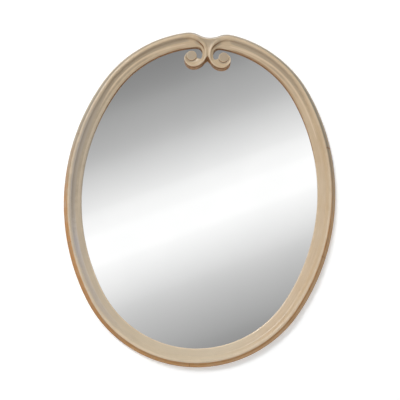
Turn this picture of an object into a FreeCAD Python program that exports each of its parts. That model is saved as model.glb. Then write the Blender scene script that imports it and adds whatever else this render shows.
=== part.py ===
import FreeCAD, Part
import math
import os

# Oval wall mirror: a painted wood frame in six dowelled segments, whose moulding curls into a
# pair of facing scrolls at the top, round a silvered glass with a screwed backboard.
# Millimetres. +Z is up, the mirror faces -Y, and the wall it hangs on is the plane y = 0.
# "inset" is the distance in from the frame's outer back edge, and "height" is the distance
# forward from the frame's back face.

# Oval layout: a four-centre oval
half_width = 372.0
half_height = 465.0
junction_angle = 30.9
stile_half_angle = 15.0

# Moulding profile, from the outer back edge to the sight edge
back_band = 3.0
ridge_inset = 16.0
ridge_height = 30.0
arris_reach = 5.0
arris_drop = 1.4
cove_reach = 17.0
cove_depth = 8.5
cove_turn = 0.45
lip_width = 4.0
lip_drop = 11.3
lip_round = 3.5
sight_inset = 50.0

# Scroll crest
curl_radius = 48.0
stem_ridge = 6.0
stem_width = 14.5
stem_straight = 4.1
stem_cove_share = 0.75
stem_lip_share = 0.88
throat_radius = 16.5
valley_radius = 65.0
field_drop = 2.0
volute_ratio = 0.70
volute_edge = 2.4
volute_edge_drop = 0.9
volute_edge_left = 0.15
volute_taper_start = 0.45
volute_taper_end = 0.8
volute_depth_share = 0.55
volute_cove_share = 0.85
volute_cove_turn = 0.28
volute_draft = 0.2
volute_fall = 1.9
eye_radius = 14.2
eye_drop = 1.5
eye_round = 1.2
eye_lead = (-2.3, 5.5)
eye_bite = 4.0
throat_start = 24.0
throat_end = 47.0
crotch_end = 50.0
volute_tail = 40.0
section_step = 9.0

# Rebates, glass and back
board_ledge = 12.0
backboard_thickness = 4.0
backboard_clearance = 0.5
glass_ledge = 8.0
glass_thickness = 5.0
glass_clearance = 2.0
card_thickness = 1.0
scroll_clearance = 1.0
sight_overlap = 0.5
shim_angle = 4.0
shim_gap = 0.1
upper_shim_angle = 25.0
lower_shim_angles = (12.0, 40.0)

# Dowels in the segment joints
dowel_radius = 4.0
dowel_length = 40.0
dowel_gap = 0.05
dowel_end_gap = 1.0
dowel_cover = 0.5
inner_dowel_setback = 9.0
crest_dowel_rise = 2.0
crest_dowel_spacing = 16.0

# Backboard screws
board_screw_length = 14.0
screw_radius = 1.5
screw_head_radius = 3.2
screw_gap = 0.05
screw_end_gap = 0.5
slot_width = 0.8
slot_depth = 0.7
stile_screw_angle = 7.5
rail_side_screw_angle = 23.0
rail_end_screw_angles = (16.0, 45.0)

# Wall pads
pad_radius = 9.0
pad_thickness = 6.0
pad_angle = 38.0

# Ring hangers
hanger_below_joint = 25.5
strap_width = 12.0
strap_thickness = 1.2
strap_end_radius = 5.0
wire_radius = 1.5
knuckle_gap = 0.05
ring_lift = 0.4
ring_side_gap = 1.0
ring_corner_radius = 4.0
hanger_screw_clearance = 4.0
hanger_screw_pitch = 13.0
strap_end = 9.0
hanger_screw_radius = 1.6
hanger_screw_length = 16.0
hanger_head_radius = 3.4
hanger_head_height = 2.0

back_y = -pad_thickness
overcut = 1.0

junction_tangent = math.tan(math.radians(junction_angle))
junction_secant = 1 / math.cos(math.radians(junction_angle))
side_centre_x = (half_width - half_height) / (1 + junction_tangent - junction_secant)
side_radius = half_width - side_centre_x
end_centre_z = -side_centre_x * junction_tangent
end_radius = half_height - end_centre_z

inner_reach = sight_inset - ridge_inset
lip_reach = inner_reach - lip_width
glass_rebate_inset = sight_inset - glass_ledge
backboard_rebate_inset = glass_rebate_inset - board_ledge
board_screw_inset = glass_rebate_inset - board_ledge / 2
back_land_inset = backboard_rebate_inset / 2
glass_front = backboard_thickness + card_thickness + glass_thickness
dowel_height = glass_front + dowel_cover + dowel_radius
dowel_insets = (ridge_inset, glass_rebate_inset - inner_dowel_setback)
field_height = ridge_height - field_drop
eye_height = ridge_height - eye_drop
depth_axis = FreeCAD.Vector(0, 1, 0)


def at(x, height, z):
    """A point at that height in front of the frame's back face."""
    return FreeCAD.Vector(x, back_y - height, z)


def line(a, b):
    return Part.LineSegment(a, b).toShape()


def arc(a, middle, b):
    return Part.Arc(a, middle, b).toShape()


def turned(shape, centre_x, centre_z, angle):
    """The shape turned about an axis along Y, from +X towards +Z."""
    copy = shape.copy()
    copy.rotate(FreeCAD.Vector(centre_x, 0, centre_z), depth_axis, -angle)
    return copy


def mirrored(shape):
    return shape.mirror(FreeCAD.Vector(0, 0, 0), FreeCAD.Vector(1, 0, 0))


def cylinder(radius, start, direction, length):
    return Part.makeCylinder(radius, length, start, direction)


# Oval plates and points on the oval


def oval_plate(inset, low, high):
    """A plate with the oval's outline, taken in by inset, between two heights."""
    r_side = side_radius - inset
    r_end = end_radius - inset
    edges = []
    for centre_x, centre_z, radius, middle, half in (
        (side_centre_x, 0, r_side, 0, junction_angle),
        (0, end_centre_z, r_end, 90, 90 - junction_angle),
        (-side_centre_x, 0, r_side, 180, junction_angle),
        (0, -end_centre_z, r_end, 270, 90 - junction_angle),
    ):
        points = []
        for angle in (middle - half, middle, middle + half):
            a = math.radians(angle)
            points.append(at(centre_x + radius * math.cos(a), low, centre_z + radius * math.sin(a)))
        edges.append(arc(*points))
    return Part.Face(Part.Wire(edges)).extrude(FreeCAD.Vector(0, low - high, 0))


def side_point(inset, angle, height):
    """A point on the right side arc, at an angle above the X axis."""
    a = math.radians(angle)
    radius = side_radius - inset
    return at(side_centre_x + radius * math.cos(a), height, radius * math.sin(a))


def end_point(inset, angle, height, end):
    """A point on the right half of the top (end 1) or bottom (end -1) arc, at an angle from vertical."""
    a = math.radians(angle)
    radius = end_radius - inset
    return at(radius * math.sin(a), height, end * (end_centre_z + radius * math.cos(a)))


# Moulding


def rounded(start, end, level):
    """An arc between two (reach, height) points that lies flat at whichever of them is level."""
    run = end[0] - start[0]
    rise = end[1] - start[1]
    centre_q = level[0]
    radius = (run**2 + rise**2) / (2 * abs(rise))
    other = end if level == start else start
    side = math.copysign(1, other[1] - level[1])
    half = math.atan2(abs(rise), abs(run))
    reach = math.copysign(radius * math.sin(half), other[0] - level[0])
    return (centre_q + reach, level[1] + side * radius * (1 - math.cos(half)))


def moulding_wire(ridge, outward, base_reach, arris, inner, winding, depth_share, top):
    """The moulding's outline at one station.

    ridge is the plan point (x, z) of the bead's crest, outward the unit plan direction towards
    the outer edge, and the reaches are measured from the crest. winding runs from 0 on the frame
    to 1 on the volute."""
    narrow = min(1.0, max(0.0, (inner_reach - inner) / (inner_reach - stem_width + stem_ridge)))
    cove_share = cove_reach / inner_reach * (1 - narrow) + stem_cove_share * narrow
    cove_share += (volute_cove_share - cove_share) * winding
    lip_share = lip_reach / inner_reach * (1 - narrow) + stem_lip_share * narrow
    lip_share += ((1 + volute_cove_share) / 2 - lip_share) * winding
    turn = cove_turn + (volute_cove_turn - cove_turn) * winding
    edge_drop = arris_drop + (volute_edge_drop - arris_drop) * winding
    depth = cove_depth * depth_share

    foot = (base_reach, 0)
    band = (base_reach, back_band)
    edge = (arris, top - edge_drop)
    crest = (0, top)
    floor = (-cove_share * inner, top - depth)
    bend = (floor[0] * turn, top - depth * turn)
    lip = (-lip_share * inner, top - lip_drop * depth_share)
    lip_foot = (-inner, lip[1] - lip_round)
    inner_foot = (-inner, 0)

    def place(point):
        return at(ridge[0] + outward[0] * point[0], point[1], ridge[1] + outward[1] * point[0])

    def straight(start, end):
        return line(place(start), place(end))

    def curved(start, end, level):
        return arc(place(start), place(rounded(start, end, level)), place(end))

    return Part.Wire(
        [
            straight(foot, band),
            straight(band, edge),
            curved(edge, crest, crest),
            curved(crest, bend, crest),
            curved(bend, floor, floor),
            straight(floor, lip),
            curved(lip, lip_foot, lip),
            straight(lip_foot, inner_foot),
            straight(inner_foot, foot),
        ]
    )


def plain_wire(ridge, outward):
    """The full moulding, as it runs round the oval."""
    return moulding_wire(ridge, outward, ridge_inset, arris_reach, inner_reach, 0.0, 1.0, ridge_height)


def side_run(start, end):
    """Moulding along the right side arc, between two angles above the X axis."""
    face = Part.Face(plain_wire((side_centre_x + side_radius - ridge_inset, 0), (1, 0)))
    face = turned(face, side_centre_x, 0, start)
    return face.revolve(FreeCAD.Vector(side_centre_x, 0, 0), depth_axis, start - end)


def end_run(start, end):
    """Moulding along the top arc, between two angles from vertical, to the right."""
    face = Part.Face(plain_wire((0, end_centre_z + end_radius - ridge_inset), (0, 1)))
    face = turned(face, 0, end_centre_z, -end)
    return face.revolve(FreeCAD.Vector(0, 0, end_centre_z), depth_axis, start - end)


# Scroll crest, on the right half


def ray_to_circle(point, direction, centre, radius):
    """Distance along the ray to where it first enters the circle, or None if it misses."""
    dx, dz = point[0] - centre[0], point[1] - centre[1]
    b = dx * direction[0] + dz * direction[1]
    c = dx * dx + dz * dz - radius * radius
    if b * b < c:
        return None
    return -b - math.sqrt(b * b - c)


ridge_arc = end_radius - ridge_inset
curl_start = math.degrees(math.asin((curl_radius + stem_ridge) / (ridge_arc - curl_radius)))
curl_centre = (
    curl_radius + stem_ridge,
    end_centre_z + (ridge_arc - curl_radius) * math.cos(math.radians(curl_start)),
)
sight_arc = end_radius - sight_inset
throat_centre = (
    stem_width + throat_radius,
    end_centre_z + math.sqrt((sight_arc - throat_radius) ** 2 - (stem_width + throat_radius) ** 2),
)
valley_centre = (
    0,
    curl_centre[1]
    + math.sqrt((curl_radius + ridge_inset + valley_radius) ** 2 - curl_centre[0] ** 2),
)


def volute_quarters():
    """Centre and radius of each quarter turn of the scroll's crest line, after the curl."""
    radius = curl_radius * volute_ratio
    centre = [stem_ridge + radius, curl_centre[1] - stem_straight]
    quarters = []
    for shift in ((0, -1), (1, 0), (0, 1), (-1, 0)):
        quarters.append((tuple(centre), radius))
        step = radius * (1 - volute_ratio)
        centre = [centre[0] + shift[0] * step, centre[1] + shift[1] * step]
        radius *= volute_ratio
    return quarters


quarters = volute_quarters()
eye_centre = (quarters[2][0][0] + eye_lead[0], quarters[2][0][1] + eye_lead[1])


def throat_reach(point, inward):
    """How far the moulding reaches from its crest to the opening's edge, on the curl."""
    to_sight = ray_to_circle(point, inward, (0, end_centre_z), sight_arc)
    to_stem = (stem_width - point[0]) / inward[0] if inward[0] > 0 and point[0] < stem_width else 0
    reach = max(to_sight or 0, to_stem)
    to_throat = ray_to_circle(point, inward, throat_centre, throat_radius)
    if to_throat is not None:
        hit_x = point[0] + inward[0] * to_throat
        hit_z = point[1] + inward[1] * to_throat
        if hit_x <= throat_centre[0] and hit_z >= throat_centre[1]:
            reach = max(reach, to_throat)
    return reach


def eased(share):
    share = min(1.0, max(0.0, share))
    return share * share * (3 - 2 * share)


def curl_sections():
    """Stations from the top arc, round the curl and down the stem."""
    wires = []
    turn = 90 + curl_start
    count = math.ceil(turn / section_step)
    for i in range(count + 1):
        angle = math.radians(90 - curl_start + turn * i / count)
        outward = (math.cos(angle), math.sin(angle))
        ridge = (curl_centre[0] + curl_radius * outward[0], curl_centre[1] + curl_radius * outward[1])
        inner = throat_reach(ridge, (-outward[0], -outward[1]))
        share = eased(2 * i / count - 1)
        depth = 1 + (volute_depth_share - 1) * share
        wires.append(
            moulding_wire(ridge, outward, ridge_inset, arris_reach, inner, 0.0, depth, ridge_height)
        )
    return wires


def volute_sections():
    """Stations round the four quarters of the scroll, into its eye."""
    wires = []
    turns = (90.0, 90.0, 90.0, volute_tail)
    total = sum(turns)
    done = 0.0
    for number, ((centre, radius), turn) in enumerate(zip(quarters, turns)):
        count = math.ceil(turn / section_step)
        for i in range(0 if number == 0 else 1, count + 1):
            swept = turn * i / count
            angle = math.radians(180 + 90 * number + swept)
            outward = (math.cos(angle), math.sin(angle))
            inward = (-outward[0], -outward[1])
            ridge = (centre[0] + radius * outward[0], centre[1] + radius * outward[1])
            along = (done + swept) / total
            to_eye = ray_to_circle(ridge, inward, eye_centre, eye_radius) or 0
            inner = max(to_eye, 0) + eye_bite
            if number == 0:
                closed = eased((swept - throat_start) / (throat_end - throat_start))
                inner = (stem_width - stem_ridge) * (1 - closed) + inner * closed
            taper = eased((along - volute_taper_start) / (volute_taper_end - volute_taper_start))
            edge = volute_edge * (1 - (1 - volute_edge_left) * taper)
            freed = eased(swept / throat_start) if number == 0 else 1.0
            parted = eased(swept / crotch_end) if number == 0 else 1.0
            base = ridge_inset * (1 - parted) + (edge + volute_draft) * parted
            arris = arris_reach * (1 - freed) + edge * freed
            top = ridge_height - volute_fall * eased(along)
            wires.append(
                moulding_wire(ridge, outward, base, arris, inner, freed, volute_depth_share, top)
            )
        done += turn
    return wires


def web():
    """The flat field between the two curls, with the valley of the notch as its top edge."""
    field_inset = (ridge_inset - arris_reach) * (field_height - back_band) / (
        ridge_height - arris_drop - back_band
    )
    far = valley_centre[1] - curl_centre[1]
    angle = math.degrees(math.asin(curl_centre[0] / (curl_radius + ridge_inset + valley_radius)))
    outline = (
        (valley_radius, 0),
        (valley_radius, back_band),
        (valley_radius + field_inset, field_height),
        (far, field_height),
        (far, 0),
    )
    points = [at(0, height, valley_centre[1] - radius) for radius, height in outline]
    face = Part.Face(Part.makePolygon(points + points[:1]))
    wedge = face.revolve(FreeCAD.Vector(0, 0, valley_centre[1]), depth_axis, -angle)
    inside = cylinder(
        curl_radius - overcut, at(curl_centre[0], -overcut, curl_centre[1]), -depth_axis, ridge_height * 2
    )
    return wedge.cut(inside)


def eye():
    """The raised button in the middle of the scroll."""
    button = cylinder(eye_radius, at(eye_centre[0], 0, eye_centre[1]), -depth_axis, eye_height)
    rim = [edge for edge in button.Edges if edge.BoundBox.YMax < back_y - eye_height + 0.1]
    return button.makeFillet(eye_round, rim)


def scroll():
    """The curling moulding, its eye and the web under the notch, cut at the middle of the mirror."""
    band = Part.makeLoft(curl_sections() + volute_sections(), True, False)
    whole = band.fuse([web(), eye()])
    other_half = Part.makeBox(half_width, pad_thickness + ridge_height * 2, half_height * 2)
    other_half.translate(FreeCAD.Vector(-half_width, back_y - ridge_height * 2, 0))
    return whole.cut(other_half)


# Rebates, glass and back


def rebate_cutters():
    """Plates that clear the backboard, the glass and the space behind the scrolls."""
    return [
        oval_plate(backboard_rebate_inset, -overcut, backboard_thickness),
        oval_plate(glass_rebate_inset, -overcut, glass_front),
        oval_plate(sight_inset + sight_overlap, -overcut, glass_front + scroll_clearance),
    ]


def shim(centre_x, centre_z, rebate_radius, angle):
    """A strip between the glass and its rebate, at an angle above the X axis."""
    inner = rebate_radius - glass_clearance + shim_gap
    outer = rebate_radius - shim_gap
    low = backboard_thickness + card_thickness
    corners = ((inner, low), (outer, low), (outer, glass_front), (inner, glass_front))
    points = [at(centre_x + radius, height, centre_z) for radius, height in corners]
    face = Part.Face(Part.makePolygon(points + points[:1]))
    face = turned(face, centre_x, centre_z, angle - shim_angle / 2)
    return face.revolve(FreeCAD.Vector(centre_x, 0, centre_z), depth_axis, -shim_angle)


def edge_shims():
    strips = [
        shim(side_centre_x, 0, side_radius - glass_rebate_inset, 0),
        shim(0, end_centre_z, end_radius - glass_rebate_inset, 90 - upper_shim_angle),
    ]
    for angle in lower_shim_angles:
        strips.append(shim(0, -end_centre_z, end_radius - glass_rebate_inset, angle - 90))
    return Part.makeCompound(strips + [mirrored(strip) for strip in strips])


# Fasteners


def dowel(middle, direction, gap=0.0, end_gap=0.0):
    """A dowel, or with gaps the hole for it, centred on a joint."""
    half = dowel_length / 2 + end_gap
    return cylinder(dowel_radius + gap, middle - direction * half, direction, half * 2)


def stile_dowels(angle, gap=0.0, end_gap=0.0):
    a = math.radians(angle)
    along = FreeCAD.Vector(-math.sin(a), 0, math.cos(a))
    return [dowel(side_point(inset, angle, dowel_height), along, gap, end_gap) for inset in dowel_insets]


def crest_dowels(gap=0.0, end_gap=0.0):
    across = FreeCAD.Vector(1, 0, 0)
    lower = end_centre_z + sight_arc + crest_dowel_rise
    levels = (lower, lower + crest_dowel_spacing)
    return [dowel(at(0, dowel_height, z), across, gap, end_gap) for z in levels]


def bottom_dowels(gap=0.0, end_gap=0.0):
    across = FreeCAD.Vector(1, 0, 0)
    return [dowel(end_point(inset, 0, dowel_height, -1), across, gap, end_gap) for inset in dowel_insets]


def board_screw(place, gap=0.0, end_gap=0.0):
    """A countersunk screw driven forward from the backboard's face, or the hole for it."""
    radius = screw_radius + gap
    head = screw_head_radius + gap
    length = board_screw_length + end_gap
    tip = screw_radius
    outline = [(0, 0), (head, 0), (radius, head - radius), (radius, length - tip), (0, length)]
    points = [place + FreeCAD.Vector(r, -depth, 0) for r, depth in outline]
    solid = Part.Face(Part.makePolygon(points + points[:1])).revolve(place, depth_axis, 360)
    if gap:
        return solid
    return solid.cut(driver_slot(place, screw_head_radius, slot_depth))


def driver_slot(place, head_radius, depth):
    """A straight slot across a screw head, cut forward from the head's face."""
    slot = Part.makeBox(head_radius * 4, depth + overcut, slot_width)
    slot.translate(place - FreeCAD.Vector(head_radius * 2, depth, slot_width / 2))
    return slot


def stile_screw_places():
    return [side_point(board_screw_inset, angle, 0) for angle in (-stile_screw_angle, stile_screw_angle)]


def rail_screw_places(end):
    places = [side_point(board_screw_inset, end * rail_side_screw_angle, 0)]
    for angle in rail_end_screw_angles:
        places.append(end_point(board_screw_inset, angle, 0, end))
    return places


def board_screw_set(gap=0.0, end_gap=0.0):
    places = stile_screw_places() + rail_screw_places(1) + rail_screw_places(-1)
    right = [board_screw(place, gap, end_gap) for place in places]
    return right + [mirrored(screw) for screw in right]


# Ring hanger, on the right stile

ring_bar_half = strap_width / 2 + ring_side_gap
ring_half_width = ring_bar_half + ring_corner_radius
ring_reach = ring_corner_radius + ring_half_width + wire_radius
first_screw_drop = ring_reach + hanger_screw_clearance + hanger_head_radius
hanger_screw_drops = (first_screw_drop, first_screw_drop + hanger_screw_pitch)
strap_length = hanger_screw_drops[1] + strap_end
stile_top_z = (side_radius - back_land_inset) * math.sin(math.radians(stile_half_angle))
hanger_pivot_z = stile_top_z - hanger_below_joint
strap_middle_z = hanger_pivot_z - strap_length / 2
hanger_x = side_centre_x + math.sqrt((side_radius - back_land_inset) ** 2 - strap_middle_z**2)
pivot = FreeCAD.Vector(hanger_x, back_y + strap_thickness + ring_lift + wire_radius, hanger_pivot_z)


def hanger_screw_places():
    """Points on the strap's outer face, under the screw heads."""
    face = back_y + strap_thickness
    return [FreeCAD.Vector(hanger_x, face, hanger_pivot_z - drop) for drop in hanger_screw_drops]


def hanger_screw(place):
    """A round-headed screw with its head on the strap."""
    head_middle = math.sqrt(0.5) * hanger_head_radius
    rise = FreeCAD.Vector(0, hanger_head_height, 0)
    top = place + rise
    shoulder = place + FreeCAD.Vector(head_middle, hanger_head_height * math.sqrt(0.5), 0)
    rim = place + FreeCAD.Vector(hanger_head_radius, 0, 0)
    neck = place + FreeCAD.Vector(hanger_screw_radius, 0, 0)
    taper = place + FreeCAD.Vector(hanger_screw_radius, hanger_screw_radius - hanger_screw_length, 0)
    tip = place - FreeCAD.Vector(0, hanger_screw_length, 0)
    outline = Part.Wire(
        [arc(top, shoulder, rim), line(rim, neck), line(neck, taper), line(taper, tip), line(tip, top)]
    )
    solid = Part.Face(outline).revolve(place, depth_axis, 360)
    return solid.cut(driver_slot(top, hanger_head_radius, slot_depth))


def hanger_screw_hole(place):
    start = place + FreeCAD.Vector(0, overcut, 0)
    length = hanger_screw_length + screw_end_gap + overcut
    return cylinder(hanger_screw_radius + screw_gap, start, -depth_axis, length)


def hanger_strap():
    """A screwed plate rolled into a knuckle round the ring's bar."""
    plate = Part.makeBox(strap_width, strap_thickness, strap_length)
    plate.translate(FreeCAD.Vector(hanger_x - strap_width / 2, back_y, hanger_pivot_z - strap_length))
    foot = [
        edge
        for edge in plate.Edges
        if edge.BoundBox.ZMax < hanger_pivot_z - strap_length + 0.1 and edge.Length < strap_thickness + 0.1
    ]
    plate = plate.makeFillet(strap_end_radius, foot)
    across = FreeCAD.Vector(1, 0, 0)
    start = pivot - across * (strap_width / 2)
    bore = wire_radius + knuckle_gap
    plate = plate.fuse(cylinder(bore + strap_thickness, start, across, strap_width))
    plate = plate.cut(cylinder(bore, start - across, across, strap_width + 2))
    for place in hanger_screw_places():
        plate = plate.cut(hanger_screw_hole(place))
    return plate.removeSplitter()


def hanger_ring():
    """A D ring: a straight bar through the knuckle and a round bow, hanging down."""
    across = FreeCAD.Vector(1, 0, 0)
    down = FreeCAD.Vector(0, 0, -1)
    pieces = [cylinder(wire_radius, pivot - across * ring_bar_half, across, ring_bar_half * 2)]
    for side in (-1, 1):
        start = pivot + across * (side * ring_bar_half)
        section = Part.Face(Part.Wire(Part.makeCircle(wire_radius, start, across)))
        pieces.append(section.revolve(start + down * ring_corner_radius, depth_axis, side * 90))
    shoulder = pivot + across * ring_half_width + down * ring_corner_radius
    section = Part.Face(Part.Wire(Part.makeCircle(wire_radius, shoulder, down)))
    pieces.append(section.revolve(pivot + down * ring_corner_radius, depth_axis, 180))
    return pieces[0].fuse(pieces[1:]).removeSplitter()


# Frame segments, right half


def right_stile():
    body = side_run(-stile_half_angle, stile_half_angle)
    holes = stile_dowels(-stile_half_angle, dowel_gap, dowel_end_gap)
    holes += stile_dowels(stile_half_angle, dowel_gap, dowel_end_gap)
    holes += [board_screw(place, screw_gap, screw_end_gap) for place in stile_screw_places()]
    holes += [hanger_screw_hole(place) for place in hanger_screw_places()]
    return body.cut(rebate_cutters()).cut(holes)


def top_right_rail():
    body = side_run(stile_half_angle, junction_angle)
    body = body.fuse([end_run(curl_start, 90 - junction_angle), scroll()])
    holes = stile_dowels(stile_half_angle, dowel_gap, dowel_end_gap)
    holes += crest_dowels(dowel_gap, dowel_end_gap)
    holes += [board_screw(place, screw_gap, screw_end_gap) for place in rail_screw_places(1)]
    return body.cut(rebate_cutters()).cut(holes)


def bottom_right_rail():
    end = end_run(0, 90 - junction_angle).mirror(FreeCAD.Vector(0, 0, 0), FreeCAD.Vector(0, 0, 1))
    body = side_run(-junction_angle, -stile_half_angle).fuse(end)
    holes = stile_dowels(-stile_half_angle, dowel_gap, dowel_end_gap)
    holes += bottom_dowels(dowel_gap, dowel_end_gap)
    holes += [board_screw(place, screw_gap, screw_end_gap) for place in rail_screw_places(-1)]
    return body.cut(rebate_cutters()).cut(holes)


def wall_pads():
    pads = []
    for end in (1, -1):
        place = end_point(back_land_inset, pad_angle, 0, end)
        pads.append(cylinder(pad_radius, place, depth_axis, pad_thickness))
    return Part.makeCompound(pads + [mirrored(pad) for pad in pads])


def backboard():
    inset = backboard_rebate_inset + backboard_clearance
    return oval_plate(inset, 0, backboard_thickness).cut(board_screw_set(screw_gap, screw_end_gap))


def nodes():
    """Every node's name and shape."""
    upper_right = stile_dowels(stile_half_angle)
    lower_right = stile_dowels(-stile_half_angle)
    glass_inset = glass_rebate_inset + glass_clearance
    card_front = backboard_thickness + card_thickness
    hanger_screws = [hanger_screw(place) for place in hanger_screw_places()]
    shapes = {
        "crest_dowels": Part.makeCompound(crest_dowels()),
        "upper_right_dowels": Part.makeCompound(upper_right),
        "lower_right_dowels": Part.makeCompound(lower_right),
        "upper_left_dowels": Part.makeCompound([mirrored(one) for one in upper_right]),
        "lower_left_dowels": Part.makeCompound([mirrored(one) for one in lower_right]),
        "bottom_dowels": Part.makeCompound(bottom_dowels()),
        "mirror_plate": oval_plate(glass_inset, card_front, glass_front),
        "backing_card": oval_plate(glass_inset, backboard_thickness, card_front),
        "edge_shims": edge_shims(),
        "backboard": backboard(),
        "backboard_screws": Part.makeCompound(board_screw_set()),
        "hanger_screws": Part.makeCompound(hanger_screws + [mirrored(one) for one in hanger_screws]),
        "wall_pads": wall_pads(),
    }
    for name, make in (
        ("stile", right_stile),
        ("hanger_strap", hanger_strap),
        ("hanger_ring", hanger_ring),
    ):
        shapes["right_" + name] = make()
        shapes["left_" + name] = mirrored(shapes["right_" + name])
    for end, make in (("top", top_right_rail), ("bottom", bottom_right_rail)):
        shapes[end + "_right_rail"] = make()
        shapes[end + "_left_rail"] = mirrored(shapes[end + "_right_rail"])
    return shapes


os.makedirs("parts", exist_ok=True)
for node, shape in nodes().items():
    shape.exportStep("parts/" + node + ".step")
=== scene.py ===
import math

import bmesh
import bpy
import numpy
from mathutils import Matrix, Vector


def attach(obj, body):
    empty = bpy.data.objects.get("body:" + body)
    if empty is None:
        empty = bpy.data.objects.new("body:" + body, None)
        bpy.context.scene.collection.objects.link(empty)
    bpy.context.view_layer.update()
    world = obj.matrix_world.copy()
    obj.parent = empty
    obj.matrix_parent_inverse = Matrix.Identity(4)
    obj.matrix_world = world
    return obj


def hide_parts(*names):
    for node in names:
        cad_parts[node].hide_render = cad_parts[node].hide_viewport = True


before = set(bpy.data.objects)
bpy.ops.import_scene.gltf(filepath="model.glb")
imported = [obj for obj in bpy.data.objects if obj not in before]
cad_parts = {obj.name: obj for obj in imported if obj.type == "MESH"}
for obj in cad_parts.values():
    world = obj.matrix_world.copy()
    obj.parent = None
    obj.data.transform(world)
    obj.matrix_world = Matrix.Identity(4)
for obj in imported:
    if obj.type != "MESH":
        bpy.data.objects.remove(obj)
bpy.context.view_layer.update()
scene = bpy.context.scene
scene.view_settings.view_transform = "Standard"
print("frame loaded:", len(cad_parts), "nodes")

# the oval's own lines, as the frame was drawn: a flat arc each side, a tighter one at each end
oval = {
    "sideCentreX": -0.21475, "sideRadius": 0.58675,
    "endCentreZ": 0.12852, "endRadius": 0.33648,
    "junction": math.radians(30.9),
    "stileHalfAngle": math.radians(15.0),
    "backY": -0.006,
}


def sidePoint(inset, angle):
    reach = oval["sideRadius"] - inset
    return oval["sideCentreX"] + reach * math.cos(angle), reach * math.sin(angle)


def endPoint(inset, angle):
    reach = oval["endRadius"] - inset
    return reach * math.sin(angle), oval["endCentreZ"] + reach * math.cos(angle)


# camera: low, nearly square on, and tipped a little
photoView = {
    "azimuth": math.radians(1.0), "elevation": math.radians(-8.0), "roll": math.radians(3.4),
    "distance": 3.0, "viewWidth": 1.1, "shift": (0.0012, -0.0094),
}


def addCamera():
    az, el, roll = photoView["azimuth"], photoView["elevation"], photoView["roll"]
    back = Vector((math.sin(az) * math.cos(el), -math.cos(az) * math.cos(el), math.sin(el)))
    level = Vector((0, 0, 1)).cross(back).normalized()
    upright = back.cross(level)
    right = level * math.cos(roll) + upright * math.sin(roll)
    up = upright * math.cos(roll) - level * math.sin(roll)
    data = bpy.data.cameras.new("photoCamera")
    data.angle = 2 * math.atan(photoView["viewWidth"] / 2 / photoView["distance"])
    data.shift_x, data.shift_y = photoView["shift"]
    camera = bpy.data.objects.new("photoCamera", data)
    turn = Matrix((right, up, back)).transposed().to_4x4()
    camera.matrix_world = Matrix.Translation(back * photoView["distance"]) @ turn
    scene.collection.objects.link(camera)
    scene.camera = camera


addCamera()
print("camera set")


def newPiece(name, points, faces):
    mesh = bpy.data.meshes.new(name)
    mesh.from_pydata(points, [], faces)
    piece = bpy.data.objects.new(name, mesh)
    scene.collection.objects.link(piece)
    return piece


# small helpers for node trees, in which a source is a (node, output) pair; an input takes a value or a source
def makeNode(tree, kind, column, row, values=None, **settings):
    node = tree.nodes.new(kind)
    node.location = (column * 200, row * -170)
    for name, value in settings.items():
        setattr(node, name, value)
    for name, value in (values or {}).items():
        if isinstance(value, tuple) and isinstance(value[0], bpy.types.Node):
            join(tree, *value, node, name)
        else:
            node.inputs[name].default_value = value
    return node


def join(tree, source, output, target, socket):
    tree.links.new(source.outputs[output], target.inputs[socket])


def calculate(tree, column, row, operation, *terms, clamp=False):
    values = dict(enumerate(terms))
    return makeNode(tree, "ShaderNodeMath", column, row, values, operation=operation, use_clamp=clamp)


def remap(tree, column, row, value, span=(0, 1), onto=(0, 1), smooth=False):
    values = {"Value": value, "From Min": span[0], "From Max": span[1], "To Min": onto[0], "To Max": onto[1]}
    kind = "SMOOTHSTEP" if smooth else "LINEAR"
    return makeNode(tree, "ShaderNodeMapRange", column, row, values, interpolation_type=kind)


# two colours or earlier mixes, blended by a share of a mask; inputs 6 and 7 of a colour Mix node take
# them, and output 2 is the result
def mixColours(tree, column, row, first, second, mask, share=1.0):
    factor = calculate(tree, column - 0.5, row + 1, "MULTIPLY", mask, share, clamp=True)
    mix = makeNode(tree, "ShaderNodeMix", column, row, {"Factor": (factor, 0)}, data_type="RGBA")
    for socket, colour in ((6, first), (7, second)):
        if isinstance(colour, tuple):
            mix.inputs[socket].default_value = (*colour, 1)
        else:
            join(tree, colour, 2, mix, socket)
    return mix


def makeNoise(tree, column, row, vector, scale, seed, detail, roughness):
    values = {"Vector": vector, "Scale": scale, "W": seed, "Detail": detail, "Roughness": roughness}
    return makeNode(tree, "ShaderNodeTexNoise", column, row, values, noise_dimensions="4D")


def newMaterial(name):
    material = bpy.data.materials.new(name)
    material.use_nodes = True
    tree = material.node_tree
    tree.nodes.clear()
    out = makeNode(tree, "ShaderNodeOutputMaterial", 12, 0)
    return material, tree, out


# colour, roughness and relief, for a finish that has all three
def finishSurface(tree, out, look, colour, rough, height, values=None):
    bump = makeNode(tree, "ShaderNodeBump", 8, 4, {
        "Strength": look["reliefStrength"], "Distance": look["reliefDepth"], "Height": height})
    shader = makeNode(tree, "ShaderNodeBsdfPrincipled", 10, 0, values)
    join(tree, colour, 2, shader, "Base Color")
    join(tree, rough, 0, shader, "Roughness")
    join(tree, bump, "Normal", shader, "Normal")
    join(tree, shader, 0, out, "Surface")


def objectPlace(tree):
    return makeNode(tree, "ShaderNodeTexCoord", -8, 0), "Object"


def newGroup(name, inputs, outputs):
    group = bpy.data.node_groups.new(name, "ShaderNodeTree")
    for label, kind, value in inputs:
        socket = group.interface.new_socket(name=label, in_out="INPUT", socket_type="NodeSocket" + kind)
        if value is not None:
            socket.default_value = value
    for label, kind in outputs:
        group.interface.new_socket(name=label, in_out="OUTPUT", socket_type="NodeSocket" + kind)
    return group, makeNode(group, "NodeGroupInput", -4, 0), makeNode(group, "NodeGroupOutput", 6, 0)


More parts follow.
